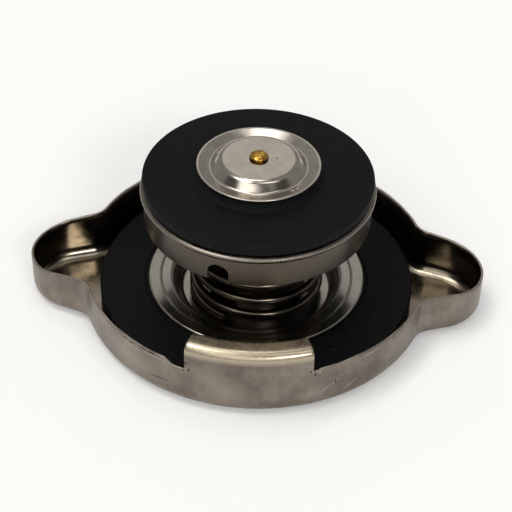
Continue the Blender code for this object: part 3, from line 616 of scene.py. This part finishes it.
def rim_drop(vert):
    """How far the rim lies below its plain height: by its waves, towards an ear's tip, beside a
    tab, and under it, where it runs from one notch's depth to the other's."""
    around = atan2(vert.co.y, vert.co.x)
    wave = RIM_WAVE * (sin(9 * around) + 0.7 * sin(23 * around + 1.0) + 0.5 * sin(41 * around))
    drop = wave + EAR_DROP * ease((abs(vert.co.x) - SKIRT) / EAR_LENGTH)
    if abs(vert.co.y) < NOTCHES_FROM:
        return drop
    turn = from_tab(vert)
    beyond = (abs(turn) - TAB_HALF_TURN) * SKIRT
    width, depth = NOTCH if turn < 0 else SMALL_NOTCH
    if beyond > 0:
        return drop + depth * ease((1 - beyond / width) / NOTCH_RAMP)
    share = (turn + TAB_HALF_TURN) / (2 * TAB_HALF_TURN)
    return drop + NOTCH[1] + (SMALL_NOTCH[1] - NOTCH[1]) * share


def pull(bm, edges, scale, height):
    """Extrudes open edges, then moves the new row to a radius share and a height."""
    grown = bmesh.ops.extrude_edge_only(bm, edges=edges)["geom"]
    verts = [item for item in grown if isinstance(item, bmesh.types.BMVert)]
    fresh = set(verts)
    bmesh.ops.scale(bm, vec=(scale, scale, 1.0), verts=verts)
    for vert in verts:
        vert.co.z = height
    row = [item for item in grown if isinstance(item, bmesh.types.BMEdge)
           and all(vert in fresh for vert in item.verts)]
    return verts, row


def make_crown(bm):
    """Closes the crown under the rim's outline, sinks its round panel and rounds its corner."""
    row = pull(bm, bm.edges[:], 1.0, RIM - RIM_BAND)[1]
    low_edges = pull(bm, row, 1.0, 0.0)[1]
    crown = bmesh.ops.edgeloop_fill(bm, edges=low_edges)["faces"]
    bmesh.ops.recalc_face_normals(bm, faces=bm.faces)
    bmesh.ops.inset_region(bm, faces=crown, thickness=CROWN_CORNER * 1.02, use_even_offset=True)
    outer = list(crown[0].edges)
    bmesh.ops.delete(bm, geom=crown, context="FACES_ONLY")
    panel = bmesh.ops.create_circle(bm, cap_ends=False, radius=PANEL_OUTER, segments=192)["verts"]
    panel_edges = list({edge for vert in panel for edge in vert.link_edges})
    bmesh.ops.triangle_fill(bm, use_beauty=True, use_dissolve=False, edges=outer + panel_edges)
    verts, row = pull(bm, panel_edges, PANEL_INNER / PANEL_OUTER, PANEL_DEPTH)
    pull(bm, row, CROWN_HOLE / PANEL_INNER, PANEL_DEPTH)
    corner = [edge for edge in bm.edges
              if all(abs(vert.co.z) < 1e-6 for vert in edge.verts)
              and any(abs(face.normal.z) < 0.5 for face in edge.link_faces)
              and edge.verts[0].co.xy.length > SKIRT - 1]
    bmesh.ops.bevel(bm, geom=corner, offset=CROWN_CORNER, segments=8, profile=0.5,
                    affect="EDGES", material=-1)


def make_tabs(bm):
    """Pulls the two tabs up from the rim, over the bend and inwards, with rounded corners."""
    row = [edge for edge in bm.edges if edge.is_boundary
           and all(abs(from_tab(vert)) < TAB_HALF_TURN + 0.002 and vert.co.z > RIM / 2
                   for vert in edge.verts)]
    steps = [(SKIRT, TAB_TOP - TAB_BEND)]
    for k in range(1, 9):
        turn = pi / 2 * k / 8
        steps.append((SKIRT - TAB_BEND * (1 - cos(turn)), TAB_TOP - TAB_BEND * (1 - sin(turn))))
    flat = SKIRT - TAB_BEND
    for k in range(1, 5):
        steps.append((flat + (TAB_INNER - flat) * k / 4, TAB_TOP))
    radius = SKIRT
    for next_radius, height in steps:
        verts, row = pull(bm, row, next_radius / radius, height)
        radius = next_radius
    ends = [vert for vert in verts if sum(edge.is_boundary for edge in vert.link_edges) == 2
            and len(vert.link_faces) == 1]
    bmesh.ops.bevel(bm, geom=ends, offset=TAB_CORNER, segments=6, profile=0.5,
                    affect="VERTICES", material=-1)


def make_shell(outside, inside, sheared):
    """The pressed steel shell: crown, skirt, finger ears and bayonet tabs in one sheet."""
    bm = bmesh.new()
    shell_outline(bm)
    make_crown(bm)
    for vert in bm.verts:
        if vert.co.z > RIM - RIM_BAND - 0.01:
            vert.co.z -= rim_drop(vert)
    make_tabs(bm)
    shell = finish_piece(bm, "cap_stamping", [outside, inside, sheared], "shell",
                         "cap_shell")
    wall = thicken(shell, SHEET, 0.1)
    wall.material_offset = 1
    wall.material_offset_rim = 2
    full = shell.vertex_groups.new(name="full thickness")
    edge = {vert for loop in open_edges(shell.data) for vert in loop}
    full.add([k for k in range(len(shell.data.vertices)) if k not in edge], 1.0, "REPLACE")
    wall.vertex_group = full.name
    wall.thickness_vertex_group = RIM_SHARE


def make_carrier(ring_rubber, disc_steel, shaded_bell_steel, rivet_steel):
    """What the crown's rivet holds under the valve: the neck ring, the disc and the bell."""
    ring, foot, top = round_size("neck_seal_ring")
    pressed = top - SQUEEZE
    finish_piece(
        lathe([(ring, top, RUBBER_EDGE), (ring, foot, RUBBER_EDGE), (RING_BORE, foot),
               (RING_BORE, pressed), (SQUEEZE_REACH, pressed), (SQUEEZE_REACH + 0.2, top, 0.1)],
              steps=220),
        "neck_rubber", [ring_rubber], "carrier", "neck_seal_ring")
    disc, foot, top = round_size("spring_seat_disc")
    floor = foot + DISC_SHEET
    step = top - STEP_DROP
    seat = finish_piece(
        lathe([(disc, top - DISC_CURL), (disc, top, 0.42), (FLANGE_INNER, top, 0.4),
               (STEP_OUTER, step, 0.25), (WELL_MOUTH, step, 0.5),
               (WELL_MIDDLE, (step + floor) / 2), (WELL_FLOOR, floor, 0.4), (GUIDE_BORE, floor)],
              closed=False, steps=220),
        "seat_disc", [disc_steel], "carrier", "spring_seat_disc")
    face_up(seat)
    thicken(seat, DISC_SHEET, 0.09)
    lip, foot, top = round_size("guide_bell")
    floor = foot + BELL_SHEET
    bell = finish_piece(
        lathe([(CROWN_HOLE, floor), (BELL_INSIDE, floor, 1.0), (BELL_INSIDE, top, 0.5), (lip, top)],
              closed=False, steps=96),
        "bell", [shaded_bell_steel], "carrier", "guide_bell")
    face_up(bell)
    thicken(bell, BELL_SHEET, 0.1)
    head, foot, top = round_size("crown_rivet")
    neck = foot + RIVET_HEAD
    clinch = top - CLINCH_HEIGHT
    finish_piece(
        lathe([(0, top), (1.9, top - 0.12, 0.3), (CLINCH_RADIUS, top - 0.6, 0.3),
               (CLINCH_RADIUS, clinch), (RIVET_SHANK, clinch), (RIVET_SHANK, neck), (head, neck),
               (head, foot, 0.2), (0, foot)], closed=False, steps=64),
        "rivet", [rivet_steel], "carrier", "crown_rivet")


def slot_tool(low, high, near, far, angle):
    """A cutter with straight sides and a round top, standing across the cup's wall."""
    bm = bmesh.new()
    centre = high - SLOT_WIDTH / 2
    start = bm.verts.new((near, SLOT_WIDTH / 2, centre))
    swept = bmesh.ops.spin(bm, geom=[start], cent=(near, 0, centre), axis=(1, 0, 0),
                           dvec=(0, 0, 0), angle=pi, steps=16, use_merge=False, use_duplicate=False)
    end = [item for item in swept["geom_last"] if isinstance(item, bmesh.types.BMVert)][0]
    feet = [bm.verts.new((near, side * SLOT_WIDTH / 2, low)) for side in (1, -1)]
    bm.edges.new((feet[0], start))
    bm.edges.new((end, feet[1]))
    bm.edges.new((feet[1], feet[0]))
    face = bmesh.ops.edgeloop_fill(bm, edges=bm.edges[:])["faces"]
    grown = bmesh.ops.extrude_face_region(bm, geom=face)["geom"]
    verts = [item for item in grown if isinstance(item, bmesh.types.BMVert)]
    bmesh.ops.translate(bm, vec=(far - near, 0, 0), verts=verts)
    bmesh.ops.rotate(bm, verts=bm.verts, cent=(0, 0, 0), matrix=Matrix.Rotation(angle, 3, "Z"))
    bmesh.ops.recalc_face_normals(bm, faces=bm.faces)
    return loose_object(bm, "slot tool")


def add_claw(bm, angle, radius, height, rise):
    """A tongue lanced from a slot's top and folded in under the plate, with a rounded tip."""
    width = SLOT_WIDTH - CUP_SHEET
    made = bmesh.ops.create_cube(bm, size=1.0)["verts"]
    bmesh.ops.scale(bm, vec=(CLAW_LENGTH, width, CUP_SHEET), verts=made)
    bmesh.ops.translate(bm, vec=(-CLAW_LENGTH / 2, 0, 0), verts=made)
    edges = {edge for vert in made for edge in vert.link_edges}
    ends = [edge for edge in edges
            if all(vert.co.x < -CLAW_LENGTH * 0.9 for vert in edge.verts)
            and abs(edge.verts[0].co.y - edge.verts[1].co.y) < 1e-6]
    bevelled = bmesh.ops.bevel(bm, geom=ends, offset=width * 0.3, segments=5, profile=0.5,
                               affect="EDGES", material=-1)
    verts = list({*[vert for vert in made if vert.is_valid], *bevelled["verts"]})
    tilt = Matrix.Rotation(asin(rise / CLAW_LENGTH), 3, "Y")
    bmesh.ops.rotate(bm, verts=verts, cent=(0, 0, 0), matrix=tilt)
    bmesh.ops.translate(bm, vec=(radius, 0, height), verts=verts)
    bmesh.ops.rotate(bm, verts=verts, cent=(0, 0, 0), matrix=Matrix.Rotation(angle, 3, "Z"))


def make_cup(material):
    """The valve cup, with its rolled bead, three slots and the claws folded in from them."""
    foot, top = round_size("valve_cup")[1:]
    inside = CUP_WALL - CUP_SHEET
    web = top - CUP_SHEET
    bead = CUP_WALL + BEAD
    bm = lathe([(CUP_BORE, top), (CUP_WALL + 0.05, top, 0.5), (bead - 0.03, top - 0.3, 0.2),
                (bead, top - 0.6, 0.2), (CUP_WALL + 0.35, top - 1.0, 0.3),
                (CUP_WALL, top - BEAD_FOOT, 0.25), (CUP_WALL, foot, 0.12), (inside, foot, 0.12),
                (inside, web, 0.45), (CUP_BORE, web)], steps=240)
    bmesh.ops.remove_doubles(bm, verts=bm.verts, dist=MERGE)
    bmesh.ops.recalc_face_normals(bm, faces=bm.faces)
    body = loose_object(bm, "cup body")
    slot_top = foot + SLOT_HEIGHT
    tools = [slot_tool(foot - CUP_SHEET, slot_top, inside - CUTTER_PAST, CUP_WALL + CUTTER_PAST,
                       turn) for turn in CLAW_TURNS]
    for tool in tools:
        cut = body.modifiers.new("slot", "BOOLEAN")
        cut.operation = "DIFFERENCE"
        cut.object = tool
    graph = bpy.context.evaluated_depsgraph_get()
    cut_mesh = bpy.data.meshes.new_from_object(body.evaluated_get(graph))
    for spare in [body, *tools]:
        bpy.data.objects.remove(spare, do_unlink=True)
    bm = bmesh.new()
    bm.from_mesh(cut_mesh)
    for turn in CLAW_TURNS:
        add_claw(bm, turn, CUP_WALL - CUP_SHEET / 2, slot_top + CLAW_ABOVE_SLOT, CLAW_RISE)
    finish_piece(bm, "valve_cup_shell", [material], "pressure_valve", "valve_cup",
                 smooth=30)


def make_valve(cup_steel, dish_steel, rubber, brass):
    """The pressure valve's plate, cup and gasket, and the vacuum valve that sits in it."""
    plate, foot, top = round_size("spring_plate")
    under = top - PLATE_SHEET
    collar = finish_piece(
        lathe([(plate, under), (COLLAR_WALL, under, 0.6), (COLLAR_WALL, foot, 0.4),
               (GUIDE_BORE, foot)], closed=False, steps=128),
        "collar_plate", [cup_steel], "pressure_valve", "spring_plate")
    thicken(collar, PLATE_SHEET, 0.1)
    make_cup(cup_steel)
    gasket, foot, top = round_size("valve_gasket")
    face = foot + GASKET
    finish_piece(
        lathe([(gasket, face, RUBBER_EDGE), (gasket, foot, RUBBER_EDGE), (GASKET_BORE, foot),
               (GASKET_BORE, face), (LIP_INNER, face, 0.2), (LIP_INNER, top, 0.25),
               (LIP_OUTER, top, 0.4), (LIP_FOOT, face, 0.4)], steps=220),
        "valve_rubber", [rubber], "pressure_valve", "valve_gasket")
    rim, foot, top = round_size("vacuum_dish")
    valley, low = DISH_VALLEY
    dish = finish_piece(
        lathe([(STEM_HOLE, top), (DISH_PLATEAU, top, 0.6), (valley, foot + low, 0.35),
               (rim - DISH_LIP, foot + DISH_RIM - 0.05, 0.08), (rim, foot + DISH_RIM)],
              closed=False, steps=200),
        "dish", [dish_steel], "vacuum_valve", "vacuum_dish")
    face_up(dish)
    thicken(dish, DISH_SHEET, 0.09)
    end, foot, top = round_size("vacuum_stem")
    neck = top - STEM_HEAD
    end_top = foot + STEM_END
    finish_piece(
        lathe([(0, top), (1.15, top - 0.08, 0.3), (1.68, top - 0.38, 0.25),
               (STEM_HEAD_RADIUS, neck, 0.05), (STEM_RADIUS, neck), (STEM_RADIUS, end_top),
               (end, end_top), (end, foot), (0, foot)], closed=False, steps=48),
        "stem", [brass], "vacuum_valve", "vacuum_stem")
    washer, foot, top = round_size("vacuum_retainer")
    finish_piece(
        lathe([(washer, top, 0.1), (washer, foot, 0.1), (STEM_HOLE, foot), (STEM_HOLE, top)],
              steps=48),
        "retainer", [brass], "vacuum_valve", "vacuum_retainer")


def make_coil(name, material, body, node, coil, start, per_turn):
    """A left-hand compression spring: flat end turns and even turns between them."""
    radius, wire, turns = coil
    foot, top = round_size(node)[1:]
    rise = top - foot - wire
    lift = wire * END_LIFT
    bm = bmesh.new()
    section = bmesh.ops.create_circle(bm, cap_ends=False, radius=wire / 2, segments=20)["verts"]
    bmesh.ops.rotate(bm, verts=section, cent=(0, 0, 0), matrix=Matrix.Rotation(pi / 2, 3, "X"))
    bmesh.ops.translate(bm, verts=section, vec=(radius, 0, foot + wire / 2))
    bmesh.ops.rotate(bm, verts=section, cent=(0, 0, 0), matrix=Matrix.Rotation(start, 3, "Z"))
    geom = bm.verts[:] + bm.edges[:]
    ends = bm.edges[:]
    parts = [(END_TURNS, lift), (turns - 2 * END_TURNS, rise - 2 * lift), (END_TURNS, lift)]
    for part_turns, part_rise in parts:
        steps = round(part_turns * per_turn)
        swept = bmesh.ops.spin(bm, geom=geom, cent=(0, 0, 0), axis=(0, 0, 1),
                               dvec=(0, 0, part_rise / steps), angle=-2 * pi * part_turns,
                               steps=steps, use_merge=False, use_duplicate=False)
        geom = swept["geom_last"]
    last = [item for item in geom if isinstance(item, bmesh.types.BMEdge)]
    bmesh.ops.edgeloop_fill(bm, edges=ends)
    bmesh.ops.edgeloop_fill(bm, edges=last)
    return finish_piece(bm, name, [material], body, node)


def make_springs(wire):
    """The two springs, each on the body that holds its fixed end and with a mesh of its own. The
    valve's slide travels 6 mm, and the dish's 2 mm."""
    main = make_coil("valve_spring", wire, "carrier", "main_spring", MAIN_COIL, MAIN_COIL_START,
                     64)
    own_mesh(main)
    weak = make_coil("weak_spring", wire, "pressure_valve", "vacuum_spring", WEAK_COIL, 0.0, 32)
    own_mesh(weak)


def make_camera():
    """A camera at the photograph's viewing angle, rolled about the direction it looks in."""
    place = Vector(CAMERA_PLACE) * MM
    target = Vector(CAMERA_TARGET) * MM
    ahead = (target - place).normalized()
    right = ahead.cross(Vector((0, 0, 1))).normalized()
    up = right.cross(ahead)
    x_axis = right * cos(CAMERA_ROLL) + up * sin(CAMERA_ROLL)
    y_axis = up * cos(CAMERA_ROLL) - right * sin(CAMERA_ROLL)
    data = bpy.data.cameras.new("camera")
    data.sensor_width = 36.0
    data.lens = LENS
    data.clip_start = 0.01
    data.clip_end = 2 * TABLE_REACH
    camera = bpy.data.objects.new("camera", data)
    bpy.context.scene.collection.objects.link(camera)
    turn = Matrix((x_axis, y_axis, -ahead)).transposed()
    camera.matrix_world = Matrix.Translation(place) @ turn.to_4x4()
    bpy.context.scene.camera = camera


def make_table():
    """A wide matt pale table, which keeps the cap's shadow."""
    bm = bmesh.new()
    bmesh.ops.create_grid(bm, x_segments=1, y_segments=1, size=TABLE_REACH)
    floor = loose_object(bm, "floor")
    material = bpy.data.materials.new("matt pale table")
    material.use_nodes = True
    tree = material.node_tree
    rays = add_node(tree, "ShaderNodeLightPath")
    seen = add_node(tree, "ShaderNodeMath", {"operation": "MAXIMUM"},
                    {0: rays.outputs["Is Camera Ray"], 1: rays.outputs["Is Glossy Ray"]})
    lift = add_node(tree, "ShaderNodeMath", {"operation": "MULTIPLY"}, {0: seen, 1: TABLE_LIFT})
    connect(tree, tree.nodes["Principled BSDF"],
            {"Base Color": rgba("#F8F8F7"), "Roughness": 0.9, "Specular IOR Level": 0.2,
             "Emission Color": rgba("#F4F9FF"), "Emission Strength": lift})
    floor.data.materials.append(material)


def make_studio():
    """A plain bright room with its soft lamps and dark curtains, all as one world."""
    world = bpy.data.worlds.new("studio")
    bpy.context.scene.world = world
    world.use_nodes = True
    tree = world.node_tree
    tree.nodes.clear()
    direction = add_node(tree, "ShaderNodeTexCoord").outputs["Generated"]
    light = ROOM_LIGHT
    for middle, reach, brightness in LAMPS:
        around = add_node(tree, "ShaderNodeMapping", {"vector_type": "TEXTURE"},
                          {"Vector": direction, "Location": middle, "Scale": reach})
        away = add_node(tree, "ShaderNodeVectorMath", {"operation": "LENGTH"}, {0: around})
        glow = add_node(tree, "ShaderNodeMapRange", {"interpolation_type": "SMOOTHSTEP"},
                        {"Value": away, "From Min": LAMP_FADE[0], "From Max": LAMP_FADE[1],
                         "To Max": brightness})
        light = add_node(tree, "ShaderNodeMath", None, {0: light, 1: glow})
    sky = add_node(tree, "ShaderNodeBackground", None,
                   {"Color": rgba("#FFFDFA"), "Strength": light})
    add_node(tree, "ShaderNodeOutputWorld", None, {"Surface": sky})


def main():
    """Sets the view, makes the finishes, then every piece, the camera, the table and the light."""
    bpy.context.scene.view_settings.view_transform = "Standard"
    nickel = ("#6E655D", "#827970", "#948B82")
    steel = dull_nickel_on_steel("dull nickel on steel", *nickel, 0.36, worn=True)
    inside = dull_nickel_on_steel("bright inside of the shell", "#7D7569", "#8F8677", "#A39A8A",
                                  0.17, fine=0.0, uneven=0.16)
    sheared = dull_nickel_on_steel("sheared edge of the steel", "#8B8278", "#A39A90", "#B9B1A7",
                                   0.4)
    rivet = dull_nickel_on_steel("upset rivet steel", *nickel, 0.4)
    dish = polished_stainless("bright stainless dish", "#B9B1A6", "#CBC4B9", 0.14, 0.025,
                              worn=True)
    disc = polished_stainless("bright stainless disc", "#96918A", "#A8A39B", 0.17, 0.02,
                              line_depth=0.0004)
    # the cup's wall below its bead gets painted shade
    drawn = polished_stainless("drawn stainless cup", "#857D74", "#938B82", 0.28, 0.004, "BANDS",
                               painted_shade_from=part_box("valve_cup")[1].z - PAINTED_SHADE_BELOW * MM)
    # painted shade: the bell's near-black tone stands in for the shade inside the spring and the
    # cup
    bell = polished_stainless("drawn steel bell painted dark as shade", "#332E29", "#3F3932", 0.36, 0.004, "BANDS")
    ring = moulded_black_rubber("black neck ring rubber", "#080708", "#0D0C0D", 0.6)
    gasket = moulded_black_rubber("black gasket rubber", "#0D0D0F", "#141416", 0.62)
    brass = clinched_brass("clinched brass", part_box("vacuum_stem")[1].z - STEM_HEAD * MM)
    make_shell(steel, inside, sheared)
    make_carrier(ring, disc, bell, rivet)
    make_valve(drawn, dish, gasket, brass)
    make_springs(oiled_spring_wire("oiled spring wire"))
    make_camera()
    make_table()
    make_studio()


main()
